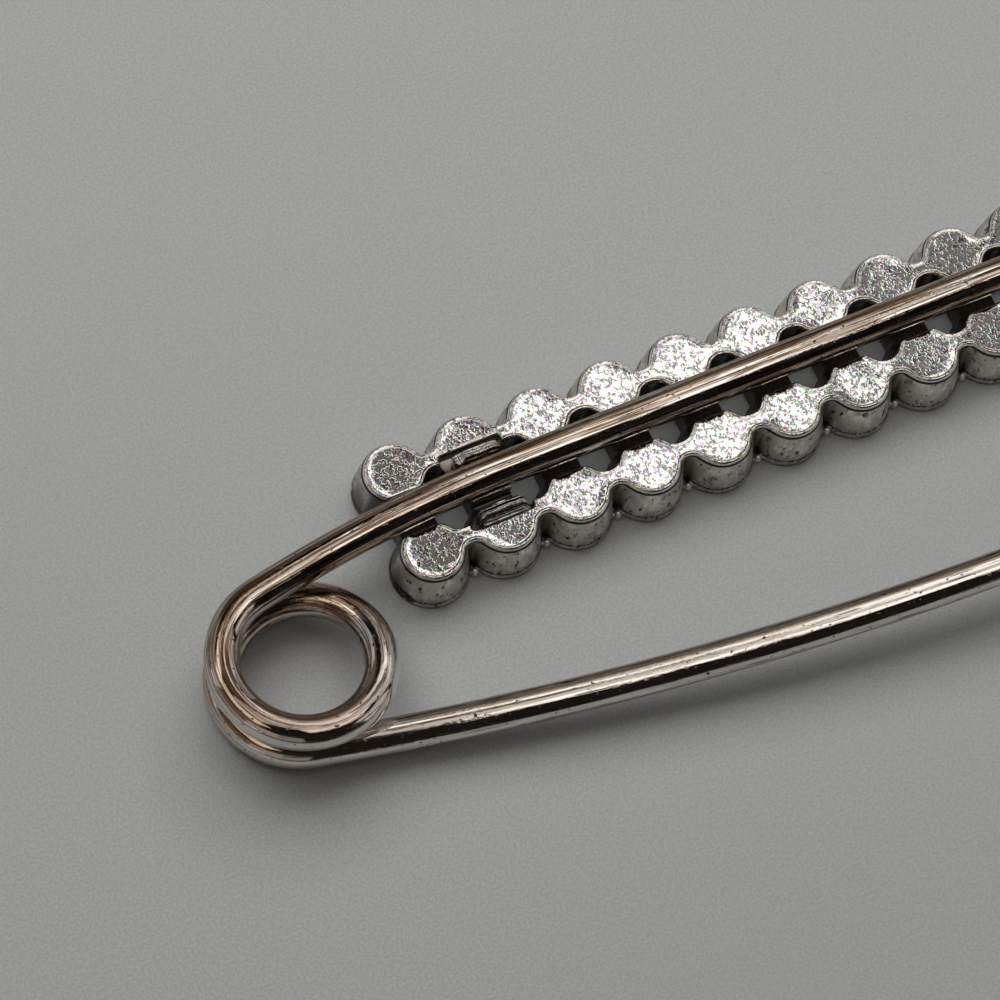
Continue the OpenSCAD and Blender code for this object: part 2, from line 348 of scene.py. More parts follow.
# Casting: two rows of flared settings with necks, beads, cups and bridges under the wire.
# Everything is worked out in millimetres from the middle of the first two settings, as the
# maker's drawing does: x runs along the bar, y away from the pin arm and z up from the table
bar = {
    "cells": 12,
    "pitch": 4.1,
    "rowY": 2.36,        # from the wire's line to a row's centre line
    "thick": 2.72,
    "rimR": 2.09,        # the widest place of a setting
    "wall": (            # height and radius of a setting
        (0.0, 2.07), (0.27, 2.09), (0.33, 2.05), (0.42, 1.99), (0.52, 1.99), (1.0, 1.96),
        (1.5, 1.89), (2.0, 1.79), (2.48, 1.68), (2.56, 1.62), (2.72, 1.60)),
    "faceR": 1.57,
    "flare": 0.42,       # how far the necks' circles widen below the face
    "neckOut": ((0.0, 0.62), (0.8, 0.55), (1.9, 0.36), (2.72, 0.32)),    # height and outer reach
    "neckIn": 0.55,
    "foot": 0.3,         # where the necks and the bridges end above the table
    "rim": {"up": 0.05, "inside": 0.11, "wide": 0.07},
    "channelDeep": 0.8,
    "channelHalf": 1.1,
    "beadR": 0.2,
    "beadTop": 0.6,
    "beadFoot": 0.05,
    "beadOut": 1.05,
    "cup": ((0.76, 1.74), (1.85, 0.02)),    # height and radius of the stone's seat
    "soft": {"neck": 0.10, "back": 0.12, "bead": 0.08, "beadTop": 0.3, "bridge": 0.08, "floor": 0.1,
             "channel": 0.12, "cup": 0.05},
    "step": (0.08, 0.08, 0.1),
    "quickStep": (0.16, 0.16, 0.16),
    "keep": 190000,      # triangles
    # Fine grain that the tree adds to the skin
    "grain": {"size": 0.42, "deep": 0.002, "ripple": 0.03, "seed": 7, "soft": 0.35,
              "swell": {"scale": 0.6, "detail": 2.0, "rough": 0.5},
              "ripples": {"scale": 0.25, "detail": 1.0, "rough": 0.5},
              "backFrom": 0.93,    # share of the thickness at which the back starts
              "facingUp": (0.86, 0.99),
              "rippleFrom": (0.35, 0.6)},    # height
    # A pressed dent in the foot of the first lower setting
    "dent": {"angle": 200.0, "out": 2.15, "up": 0.45, "half": (0.36, 1.0, 0.38), "soft": 0.05},
    # Where soil and painted shade lie, in the valleys, under the wire, near the table and in the dent: how
    # near to the neck, the wire or the table it starts and is full
    "soilAndShade": {"valley": {"near": (0.45, 0.05), "below": (2.6, 2.45), "most": 0.85},
             "inside": {"near": (2.2, 1.5), "below": (2.62, 2.45), "most": 0.92},
             "low": {"near": (1.2, 0.1), "most": 0.35},
             "dent": (0.08, 0.0),
             "beads": (1.1, 1.4)},
    "away": 9.0,         # farther than any surface
}

barLow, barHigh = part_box("bar")
home = Vector((barLow.x + bar["rimR"] * mm, (barLow.y + barHigh.y) / 2, 0))


def toFrame(points):
    # From the drawing's millimetres to the frame's metres
    return np.asarray(points, dtype=float) * mm + np.array(home)


def neckField(w, v, wall, z):
    # What lies outside two circles that touch both neighbouring settings
    half = bar["pitch"] / 2
    faceR = np.minimum(wall, bar["faceR"] + bar["flare"])
    outH = profile(z, bar["neckOut"])
    inH = bar["neckIn"]
    outR = (half ** 2 + outH ** 2 - faceR ** 2) / (2 * (faceR - outH))
    inR = (half ** 2 + inH ** 2 - bar["faceR"] ** 2) / (2 * (bar["faceR"] - inH))
    outTouch = faceR * (outH + outR) / (faceR + outR)
    inTouch = bar["faceR"] * (inH + inR) / (bar["faceR"] + inR)
    outer = outR - np.sqrt(w * w + (v - outH - outR) ** 2)
    inner = inR - np.sqrt(w * w + (v + inH + inR) ** 2)
    neck = np.maximum(np.maximum(v - outTouch, outer), np.maximum(-v - inTouch, inner))
    return np.maximum(neck, bar["foot"] - z), half - inR


def castField(x, y, z):
    pitch = bar["pitch"]
    soft = bar["soft"]
    last = bar["cells"] - 1
    cell = np.clip(np.round(x / pitch), 0, last)
    u = x - cell * pitch
    v = np.abs(y) - bar["rowY"]
    w = pitch / 2 - np.abs(u)
    radius = np.sqrt(u * u + v * v)
    wall = profile(z, bar["wall"])
    neck, bridgeHalf = neckField(w, v, wall, z)
    alone = ((cell == 0) & (u < 0)) | ((cell == last) & (u > 0))
    neck = np.where(alone, bar["away"], neck)
    body = roundMin(radius - wall, neck, soft["neck"])
    # The back is flat, with a faint raised rim along its outline
    raised = bar["rim"]["up"] * np.exp(-((body + bar["rim"]["inside"]) / bar["rim"]["wide"]) ** 2)
    body = roundMax(body, z - bar["thick"] - raised, soft["back"])
    body = np.maximum(body, -z)
    # Beads between the settings' feet
    bead = np.sqrt(w * w + (v - bar["beadOut"]) ** 2) - bar["beadR"]
    bead = roundMax(bead, z - bar["beadTop"], soft["beadTop"])
    bead = np.maximum(bead, bar["beadFoot"] - z)
    body = roundMin(body, np.where(alone, bar["away"], bead), soft["bead"])
    # Bridges under the wire
    bridge = np.maximum(np.abs(u) - bridgeHalf, np.abs(y) - bar["rowY"])
    channelFloor = bar["thick"] - bar["channelDeep"]
    bridge = np.maximum(bridge, roundMax(z - channelFloor, bar["foot"] - z, soft["floor"]))
    body = roundMin(body, bridge, soft["bridge"])
    # The channel, with a rounded upper edge
    cut = np.maximum(np.abs(y) - bar["channelHalf"], channelFloor - z)
    body = roundMax(body, -cut, soft["channel"])
    for at in crimp["cells"]:
        body = crimpSeat(body, x - at * pitch, y, z)
    # Room for the wire over the saddles
    body = roundMax(body, besideWire(y, z, crimp["seatGap"]), crimp["soft"])
    # Cups for the stones, open at the front
    cup = np.maximum(radius - profile(z, bar["cup"]), z - bar["cup"][1][0])
    body = roundMax(body, -cup, soft["cup"])
    return roundMax(body, -dentField(x, y, z), bar["dent"]["soft"])


def dentField(x, y, z):
    dent = bar["dent"]
    angle = math.radians(dent["angle"])
    v = y + bar["rowY"]
    outward = x * math.cos(angle) + v * math.sin(angle)
    sideways = v * math.cos(angle) - x * math.sin(angle)
    spread = ((outward - dent["out"]) / dent["half"][0]) ** 2 + (sideways / dent["half"][1]) ** 2
    return (np.sqrt(spread + ((z - dent["up"]) / dent["half"][2]) ** 2) - 1) * dent["half"][0]


def soilAndShadeOn(x, y, z):
    # From 0 to 1 for soil and painted shade, and -1 on the beads, which get a painted highlight
    soilAndShade = bar["soilAndShade"]
    pitch = bar["pitch"]
    cell = np.clip(np.round(x / pitch), 0, bar["cells"] - 1)
    w = pitch / 2 - np.abs(x - cell * pitch)
    v = np.abs(y) - bar["rowY"]
    # soil and painted shade between the settings; painted shade on the inner side under the wire, near the
    # table and in the dent
    valley = fade(w, *soilAndShade["valley"]["near"]) * fade(z, *soilAndShade["valley"]["below"])
    valley = valley * soilAndShade["valley"]["most"]
    inside = fade(np.abs(y), *soilAndShade["inside"]["near"]) * fade(z, *soilAndShade["inside"]["below"])
    inside = inside * soilAndShade["inside"]["most"]
    low = fade(z, *soilAndShade["low"]["near"]) * soilAndShade["low"]["most"]
    hollow = fade(dentField(x, y, z), *soilAndShade["dent"])
    most = np.maximum(np.maximum(valley, inside), np.maximum(low, hollow))
    bead = np.sqrt(w * w + (v - bar["beadOut"]) ** 2)
    off = fade(bead, bar["beadR"] * soilAndShade["beads"][0], bar["beadR"] * soilAndShade["beads"][1])
    return np.where(z < bar["beadTop"] + 0.05, off, 1.0) * (most + 1) - 1


def grainTree():
    # Hammered grain on whatever faces up at the back, and slight ripples on the walls
    grain = bar["grain"]
    tree, given = newTree(
        "hammeredGrain", Float=("Grain Size", "Grain Depth", "Ripple Depth", "Face Height"),
        Int=("Seed",), Material=("Metal",))
    spot = addNode(tree, "GeometryNodeInputPosition").outputs[0]
    normal = addNode(tree, "GeometryNodeInputNormal").outputs[0]
    height = parts(tree, spot)[2]
    lowest = times(tree, given["Face Height"], grain["backFrom"])
    high = mathNode(tree, "GREATER_THAN", height, lowest)
    mask = times(tree, ramp(tree, parts(tree, normal)[2], *grain["facingUp"]), high)
    scale = mathNode(tree, "DIVIDE", 1.0, given["Grain Size"])
    offset = addNode(tree, "ShaderNodeCombineXYZ", {0: given["Seed"]}).outputs[0]
    moved = scaled(tree, spot, scale)
    moved = addNode(tree, "ShaderNodeVectorMath", {0: moved, 1: offset}, operation="ADD").outputs[0]
    links = {"Vector": moved, "Scale": 1.0, "Smoothness": grain["soft"]}
    grains = addNode(tree, "ShaderNodeTexVoronoi", links, feature="SMOOTH_F1").outputs["Distance"]
    swell = layer(tree, moved, grain["swell"])
    relief = times(tree, mathNode(tree, "SUBTRACT", swell, grains), given["Grain Depth"])
    relief = times(tree, relief, mask)
    ripple = mathNode(tree, "SUBTRACT", layer(tree, moved, grain["ripples"]), 0.5)
    ripple = times(tree, ripple, given["Ripple Depth"])
    aboveFoot = ramp(tree, height, *(z * mm for z in grain["rippleFrom"]))
    relief = mathNode(tree, "ADD", relief, times(tree, ripple, aboveFoot))
    shift = scaled(tree, normal, relief)
    solid = store(tree, given[0], "backFace", mask)
    solid = addNode(tree, "GeometryNodeSetPosition", {"Geometry": solid, "Offset": shift}).outputs[0]
    endTree(tree, solid, given["Metal"])
    return tree


def makeBar(material):
    rim = bar["rimR"] + 0.1
    low = (-rim, -bar["rowY"] - rim, -0.15)
    high = ((bar["cells"] - 1) * bar["pitch"] + rim, bar["rowY"] + rim, bar["thick"] + 0.12)
    step = bar["step"]
    verts, faces = surfaceFrom(castField, low, high, step)
    piece = meshPiece("castBar", toFrame(verts), faces, material)
    addValues(piece, "soilAndShade", soilAndShadeOn(*verts.T))
    grain = bar["grain"]
    runTree(piece, grainTree(), {
        "Grain Size": grain["size"] * mm, "Grain Depth": grain["deep"] * mm,
        "Ripple Depth": grain["ripple"] * mm, "Face Height": bar["thick"] * mm,
        "Seed": grain["seed"], "Metal": material})
    thin(piece, bar["keep"])
    print("casting:", len(piece.data.polygons), "faces")
    return piece


# Plated casting: smooth plate with veins painted as dark reflections and coloured sparkle on the back
# faces, and satin walls with stains and pits, soil and painted shade in the valleys, painted shade under
# the rims and along the grooves, and painted highlights on the rims and beads
castFinish = {
    "plate": (0.90, 0.90, 0.89),
    "wall": (0.60, 0.565, 0.52),
    "bright": (0.86, 0.84, 0.80),
    # dark colour for stains and pits, and for painted shade
    "dirtAndShade": (0.05, 0.042, 0.036),
    # veins painted as dark reflections on the back faces
    "paintedVeinReflection": (0.15, 0.14, 0.13),
    "grain": {"scale": 3.4, "detail": 2.0, "rough": 0.5},
    "fine": {"scale": 8.84, "detail": 2.0},
    "creases": {"scale": 2.4, "detail": 2.5},
    "pebbles": {"scale": 3.0, "detail": 2.0, "rough": 0.5, "range": (0.56, 0.74)},
    "stains": {"scale": 1.4, "detail": 4.0, "rough": 0.7, "range": (0.55, 0.70, 0.0, 0.7)},
    "patches": {"scale": 1.9, "range": (0.45, 0.70)},
    "pits": {"scale": 3.6, "range": (0.60, 0.66)},
    "drawnUp": 0.55,     # the wall's marks are longer upwards
    "hues": {"scale": 7.0, "share": 0.36, "strong": 3.0, "shift": -0.8},
    # painted shade in the groove under the rim and in the groove at the foot
    "underRimShade": (2.45, 2.59),
    "footGrooveShade": (0.36, 0.50),
    "bandSoft": 0.03,
    # painted highlight along the rim
    "paintedRimHighlight": (2.60, 2.64),
    # Parts of a pattern's range that show, and how much
    "broken": (0.40, 0.50),
    "ridge": (0.0, 0.10, 1.0, 0.0),
    "crease": (0.010, 0.050, 0.9, 0.0),
    "inGroove": (0.35, 0.50),
    "gatheredSoilAndShade": (0.2, 0.5, 0.6, 1.0),
    "rough": {"wall": 0.36, "rim": -0.16, "back": -0.32, "fine": 0.05},
    "deep": 0.10,        # the bump's full height; the shares of it follow
    "relief": {"grain": 0.004, "pebbles": 0.022, "ridges": 0.024, "pits": -0.4, "wall": 0.15},
}


def backLook(tree, spot, grainNoise):
    # The face's colour, with dark veins painted along its creases as reflections, and the ridges along its
    # creases
    look = castFinish
    creases = layer(tree, spot, look["creases"])
    creases = mathNode(tree, "ABSOLUTE", mathNode(tree, "SUBTRACT", creases, 0.5))
    broken = ramp(tree, grainNoise, *look["broken"])
    ridge = times(tree, ramp(tree, creases, *look["ridge"]), broken)
    paintedVeinReflection = times(tree, ramp(tree, creases, *look["crease"]), broken)
    hues = look["hues"]
    links = {"Vector": spot, "Scale": hues["scale"], "Detail": 1.0}
    hue = addNode(tree, "ShaderNodeTexNoise", links).outputs["Color"]
    links = {0: hue, 1: [hues["strong"]] * 3, 2: [hues["shift"]] * 3}
    hue = addNode(tree, "ShaderNodeVectorMath", links, operation="MULTIPLY_ADD").outputs[0]
    sparkle = mixColour(tree, hues["share"], look["plate"], hue)
    return mixColour(tree, paintedVeinReflection, sparkle, look["paintedVeinReflection"]), ridge


def wallLook(tree, up, upright, wallness, fine, pits):
    # The wall's colour with stains, pits, soil and painted shade, and a painted highlight where the rim
    # and the beads take the plate colour
    look = castFinish

    def band(low, high):
        edge = look["bandSoft"]
        rise = ramp(tree, up, low - edge, low + edge)
        return times(tree, rise, ramp(tree, up, high - edge, high + edge, 1, 0))

    stains = layer(tree, upright, look["stains"])
    patches = layer(tree, upright, look["patches"])
    # painted shade in the foot groove
    foot = times(tree, band(*look["footGrooveShade"]), ramp(tree, fine, *look["inGroove"]))
    gatheredSoilAndShade = namedValue(tree, "soilAndShade")
    clear = ramp(tree, gatheredSoilAndShade, -1.0, 0.0)
    gatheredSoilAndShade = times(tree, gatheredSoilAndShade, ramp(tree, fine, *look["gatheredSoilAndShade"]))
    dirtAndShade = largest(tree, stains, pits, foot, gatheredSoilAndShade, band(*look["underRimShade"]))
    dirtAndShade = times(tree, dirtAndShade, clear)
    rim = times(tree, ramp(tree, up, *look["paintedRimHighlight"]), wallness)
    dirtAndShade = times(tree, dirtAndShade, mathNode(tree, "SUBTRACT", 1.0, rim))
    dirtAndShade = largest(tree, dirtAndShade, gatheredSoilAndShade)
    # painted highlight: the rim and the beads take the plate colour
    paintedHighlight = largest(tree, rim, mathNode(tree, "SUBTRACT", 1.0, clear))
    wall = mixColour(tree, patches, look["wall"], look["bright"])
    wall = mixColour(tree, paintedHighlight, wall, look["plate"])
    return mixColour(tree, dirtAndShade, wall, look["dirtAndShade"]), rim


def makeCastMetal():
    material, tree, shader = newMaterial("platedCasting")
    look = castFinish
    spot = objectSpot(tree)
    up = parts(tree, spot)[2]
    facing = namedValue(tree, "backFace")
    wallness = mathNode(tree, "SUBTRACT", 1.0, facing)
    grainNoise = layer(tree, spot, look["grain"])
    fine = layer(tree, spot, look["fine"])
    upright = objectSpot(tree, (1, 1, look["drawnUp"]))
    pits = layer(tree, upright, look["pits"])
    back, ridge = backLook(tree, spot, grainNoise)
    wall, rim = wallLook(tree, up, upright, wallness, fine, pits)
    share = look["rough"]
    rough = weighed(tree, share["wall"], share, rim=rim, back=facing, fine=fine)
    colour = mixColour(tree, facing, wall, back)
    feed(tree, shader, {"Base Color": colour, "Metallic": 1.0, "Roughness": rough})
    share = look["relief"]
    pebbles = layer(tree, spot, look["pebbles"])
    relief = times(tree, grainNoise, share["grain"])
    relief = weighed(tree, relief, share, pebbles=pebbles, ridges=ridge)
    onFace = mathNode(tree, "MULTIPLY_ADD", facing, 1 - share["wall"], share["wall"])
    relief = times(tree, relief, onFace)
    relief = weighed(tree, relief, share, pits=times(tree, pits, wallness))
    addBump(tree, shader, relief, look["deep"])
    return material


# Crimps: one tab folded against the wire and one that stands open, both ribbed lengthwise, and
# the recess and saddles in the casting that they stand on
crimp = {
    "cells": (1, 10),
    "long": 2.55,
    "foot": 1.7,
    "recess": ((-1.75, -2.18, 2.1), (1.75, 2.25, 4)),
    "saddles": (((-1.1, -2.36, 1.5), (1.1, 2.36, 1.95)), ((-1.1, -0.75, 1.5), (1.1, 0.75, 2.75))),
    "seatSoft": {"recess": 0.25, "rim": 0.12, "saddle": 0.15, "join": 0.1},
    # Each tab's outline across the wire: places and the height of its back there
    "hug": {"y": (0.84, 1.08, 1.20, 1.74), "top": (3.25, 3.52, 3.80, 3.74), "rib": 0.055,
            "ribs": 0.18, "slots": ()},
    "open": {"y": (-2.22, -1.95, -1.72, -1.42), "top": (3.30, 3.66, 3.62, 3.42), "rib": 0.03,
             "ribs": 0.15, "slots": ((-2.08, 0.07), (-1.76, 0.045))},
    "crown": 0.10,       # how far the back drops towards its ends
    "round": 0.30,
    "wave": {"along": 5.1, "across": 3, "share": 0.5},
    "curl": {"r": 0.26, "along": 0.80, "up": 3.78, "soft": 0.06},
    "slot": {"from": 0.85, "to": 0.9, "floor": 3.2, "soft": 0.05},
    "seatGap": 0.06,
    "tabGap": 0.02,
    # painted shade between the ribs, in the slots and towards the foot
    "soilAndShade": {"ribs": (-0.1, -0.8), "most": 0.8, "slots": (0.10, 0.05), "foot": (3.3, 2.5)},
    # from this height the tab tops take the back's plate colour, a painted highlight
    "backFrom": (3.3, 3.6),    # height from which a tab is as bright as the back
    "backMost": 0.9,
    "margin": 0.2,
    "soft": 0.04,
    "step": 0.045,
}


def besideWire(y, z, gap):
    return wire["radius"] + gap - np.sqrt(y * y + (z - wireZ) ** 2)


def crimpSeat(body, near, y, z):
    soft = crimp["seatSoft"]
    body = roundMax(body, -boxField(near, y, z, *crimp["recess"], soft["recess"]), soft["rim"])
    for low, high in crimp["saddles"]:
        body = roundMin(body, boxField(near, y, z, low, high, soft["saddle"]), soft["join"])
    return body


def ribsAcross(y, tab):
    return np.cos((y - tab["y"][1]) / tab["ribs"] * 2 * np.pi)


def tabField(at, tab):
    def field(x, y, z):
        near = x - at
        half = crimp["long"] / 2
        low, high = tab["y"][0], tab["y"][-1]
        wave, slot, curl = crimp["wave"], crimp["slot"], crimp["curl"]
        ridge = tab["rib"] * ribsAcross(y, tab)
        ridge = ridge * (1 + wave["share"] * np.sin(near * wave["along"] + y * wave["across"]))
        ridge = ridge * fade(y, low + 0.1, low + 0.35)
        crown = np.interp(y, tab["y"], tab["top"]) - crimp["crown"] * (near / half) ** 2
        shape = boxField(near, y, z - crown - ridge, (-half, low, -1.9), (half, high, 0.0), crimp["round"])
        for middle, wide in tab["slots"]:
            # A lengthwise slot leaves a thin outer lip and a bright inner ridge
            start = (-half * slot["from"], middle - wide, slot["floor"])
            end = (half * slot["to"], middle + wide, 5)
            shape = roundMax(shape, -boxField(near, y, z, start, end, slot["soft"]), crimp["soft"])
        if not tab["slots"]:
            # The near end curls in and stays lower
            hollow = curl["r"] - np.sqrt((near + half * curl["along"]) ** 2 + (z - curl["up"]) ** 2)
            shape = roundMax(shape, hollow, curl["soft"])
        return roundMax(shape, besideWire(y, z, crimp["tabGap"]), crimp["soft"])
    return field


def tabSoilAndShade(x, y, z, tab):
    # Painted shade lies between the ribs, in the slots and towards the foot
    soilAndShade = crimp["soilAndShade"]
    between = fade(ribsAcross(y, tab), *soilAndShade["ribs"]) * soilAndShade["most"]
    between = between * (y > tab["y"][1])
    for middle, _ in tab["slots"]:
        between = np.maximum(between, fade(np.abs(y - middle), *soilAndShade["slots"]))
    return np.maximum(between, fade(z, *soilAndShade["foot"]))


def makeTabs(material):
    verts = []
    faces = []
    soilsAndShades = []
    room = crimp["margin"]
    for cell in crimp["cells"]:
        at = cell * bar["pitch"]
        for tab in (crimp["hug"], crimp["open"]):
            corner = (at - crimp["long"] / 2 - room, tab["y"][0] - room, crimp["foot"])
            far = (at + crimp["long"] / 2 + room, tab["y"][-1] + room, max(tab["top"]) + 0.3)
            more, quads = surfaceFrom(tabField(at, tab), corner, far, [crimp["step"]] * 3)
            faces.append(quads + sum(len(v) for v in verts))
            verts.append(more)
            soilsAndShades.append(tabSoilAndShade(*more.T, tab))
    verts = np.concatenate(verts)
    soilsAndShades = np.concatenate(soilsAndShades)
    piece = meshPiece("crimpTabs", toFrame(verts), np.concatenate(faces), material)
    smooth(piece)
    addValues(piece, "soilAndShade", soilsAndShades)
    # the tab tops take the back's bright plate colour as a painted highlight, kept off the painted shade
    backFace = fade(verts[:, 2], *crimp["backFrom"]) * (1 - soilsAndShades) * crimp["backMost"]
    addValues(piece, "backFace", backFace)
    return piece


# Wires: the straight run on the bar, a gentle bend, one and a half turns and the pin arm
wire = {
    "radius": 0.9,
    "coilR": 3.98,
    "coilBack": 8.58,    # from the first settings to the coil's middle
    "coilSink": 1.4,
    "coilDrop": 3.4,
    "coilLean": 0.47,
    "ease": 0.2,         # share of the coil in which its drop sets in, and again ends
    "seam": 455.0,       # the turn where the arm's piece takes over
    "bendR": 72.0,
    "armSplay": 13.7,
    "bowR": 200.0,
    "armRise": 0.045,
    "pointL": 6.0,
    "tipR": 0.12,
    "tipRound": 0.015,   # share of the point that its rounded end takes up
    "tipIn": 7.8,        # how far the point reaches into the hood
    "wireIn": 9.0,
    "straightStep": 1.5,
    "turnStep": 2.5,     # degrees
    "bendSteps": 15,
    "armSteps": 60,
    "pointSteps": 24,
    "sides": 48,
    "spring": (0.95, 0.8),    # shares of the coil
}
wireZ = bar["thick"] + wire["radius"]
coilCentre = (-wire["coilBack"], -wire["coilR"] - wire["coilSink"])
reach = wire["bendR"] - wire["coilR"]
joinAngle = math.degrees(math.acos((reach - wire["coilSink"]) / reach))
coilFrom = 90 + joinAngle
coilTo = 630 - wire["armSplay"]
bendX = coilCentre[0] + reach * math.sin(math.radians(joinAngle))


def ease(t):
    part = wire["ease"]
    start = t * t / (2 * part) if t < part else t - part / 2
    end = (t - 1 + part) ** 2 / (2 * part) if t > 1 - part else 0
    return (start - end) / (1 - part)


def coilPoint(angle):
    turned = math.radians(angle)
    drop = wire["coilDrop"] * ease((angle - coilFrom) / (coilTo - coilFrom))
    lean = wire["coilLean"] * (1 - math.cos(math.radians(angle - coilFrom)))
    return (coilCentre[0] + wire["coilR"] * math.cos(turned),
            coilCentre[1] + wire["coilR"] * math.sin(turned), wireZ - drop + lean)


armStart = coilPoint(coilTo)
splay = math.radians(wire["armSplay"])


def armPoint(s):
    turned = s / wire["bowR"] - splay
    return (armStart[0] + wire["bowR"] * (math.sin(turned) + math.sin(splay)),
            armStart[1] - wire["bowR"] * (math.cos(turned) - math.cos(splay)),
            armStart[2] + wire["armRise"] * s)


def armReach(x):
    return (math.asin((x - armStart[0]) / wire["bowR"] - math.sin(splay)) + splay) * wire["bowR"]


def backRoute():
    run = wire["straightStep"]
    end = mouthX + wire["wireIn"]
    count = math.ceil((end - bendX - run / 2) / run)
    straight = [(end - run * k, 0, wireZ) for k in range(count)]
    bend = []
    for k in range(wire["bendSteps"]):
        a = math.radians(joinAngle * k / wire["bendSteps"])
        bend.append((bendX - wire["bendR"] * math.sin(a), -wire["bendR"] * (1 - math.cos(a)), wireZ))
    steps = round((wire["seam"] - coilFrom) / wire["turnStep"])
    turns = [coilPoint(coilFrom + (wire["seam"] - coilFrom) * k / steps) for k in range(steps + 1)]
    route = straight + bend + turns
    return route, [wire["radius"]] * len(route)


def pinRoute():
    steps = round((coilTo - wire["seam"]) / wire["turnStep"])
    turns = [coilPoint(wire["seam"] + (coilTo - wire["seam"]) * k / steps) for k in range(steps)]
    shaftL = armReach(mouthX + wire["tipIn"]) - wire["pointL"]
    shaft = [armPoint(shaftL * k / wire["armSteps"]) for k in range(wire["armSteps"] + 1)]
    route = turns + shaft
    radii = [wire["radius"]] * len(route)
    for k in range(1, wire["pointSteps"] + 1):
        t = k / wire["pointSteps"]
        route.append(armPoint(shaftL + wire["pointL"] * t))
        taper = wire["tipR"] + (wire["radius"] - wire["tipR"]) * (1 - t ** 1.6)
        ended = max(0.0, (t - 1 + wire["tipRound"]) / wire["tipRound"])
        radii.append(taper * math.sqrt(max(0.0, 1 - ended ** 2)) + 0.001)
    return route, radii


def sweepTree():
    # The route is swept with a round section, and keeps where each point lies on the wire's skin
    tree, given = newTree("wireSweep", Float=("Wire Radius",), Int=("Sides",), Material=("Skin",))
    path = addNode(tree, "GeometryNodeMeshToCurve", {0: given[0]}).outputs[0]
    run = addNode(tree, "GeometryNodeSplineParameter").outputs["Length"]
    path = store(tree, path, "skinAlong", run)
    links = {"Resolution": given["Sides"], "Radius": given["Wire Radius"]}
    section = addNode(tree, "GeometryNodeCurvePrimitiveCircle", links).outputs[0]
    spot = addNode(tree, "GeometryNodeInputPosition").outputs[0]
    section = store(tree, section, "skinAcross", spot, "FLOAT_VECTOR")
    share = addNode(tree, "GeometryNodeInputNamedAttribute", {"Name": "share"}, data_type="FLOAT")
    links = {"Curve": path, "Profile Curve": section, "Scale": share.outputs[0], "Fill Caps": True}
    solid = addNode(tree, "GeometryNodeCurveToMesh", links).outputs[0]
    links = {"Geometry": solid, "Distance": 0.002 * mm}
    solid = addNode(tree, "GeometryNodeMergeByDistance", links).outputs[0]
    endTree(tree, solid, given["Skin"])
    return tree


def makeWire(name, route, radii, tree, material):
    points = toFrame(route)
    piece = meshPiece(name, points, [], None, [(k, k + 1) for k in range(len(points) - 1)])
    addValues(piece, "share", np.array(radii) / wire["radius"])
    runTree(piece, tree, {"Wire Radius": wire["radius"] * mm, "Sides": wire["sides"], "Skin": material})
    return piece


# Drawn steel wire with a worn nickel skin: lengthwise lines and scores, matt patches and pits.
# The side away from the pin arm gets painted shade, the bar's wire has more copper and streaks than the
# arm, and dark red-brown bands are painted on top of the bend and the coil as a reflection
wireFinish = {
    "nickel": (0.83, 0.79, 0.745),
    "copper": (0.55, 0.42, 0.32),
    # dark red-brown painted on top of the bend and the coil as a reflection
    "paintedBrownReflection": (0.27, 0.125, 0.07),
    "pit": (0.08, 0.065, 0.055),
    # dark brown for the streaks and for painted shade
    "streakAndShade": (0.20, 0.12, 0.07),
    "scoresDark": 0.75,
    "rough": {"least": 0.03, "lines": 0.06, "worn": 0.06, "dark": 0.25},
    "lineDeep": 0.0035,
    "chatterDeep": (0.4, 3.5),    # against the lines' depth, and more where it is worn
    "pitDeep": -0.8,
    # Where finishes lie, from and to in the drawing's millimetres, and how much of them shows there
    "handled": (-9, -2, 0.2, 1.0),
    "bent": (-8.5, -3, 1.0, 0.0),
    "upperSide": (1.8, 3.2, 0.0, 0.6),
    # painted shade on the side turned away from the pin arm
    "turnedAway": (0.45, 0.85, 0.0, 0.85),    # how far the skin faces away from the pin arm
    # Each pattern is drawn out along the wire: the smaller its along, the longer its marks
    "lines": {"along": 0.012, "scale": 13.0, "rough": 0.65},
    "scores": {"along": 0.035, "scale": 6.0, "range": (0.60, 0.68)},
    "chatter": {"along": 0.4, "scale": 7.0},
    "worn": {"along": 0.3, "scale": 0.6, "detail": 2.0, "rough": 0.5, "range": (0.47, 0.62)},
    "warm": {"along": 0.06, "scale": 1.7, "range": (0.44, 0.62, 0.0, 0.85)},
    "brownReflectionBands": {"along": 0.015, "scale": 1.6, "range": (0.50, 0.60)},
    "specks": {"along": 0.6, "scale": 6.0, "detail": 2.0, "rough": 0.5, "range": (0.66, 0.71)},
    "streaks": {"along": 0.018, "scale": 11.0, "range": (0.48, 0.55, 0.0, 0.95)},
}


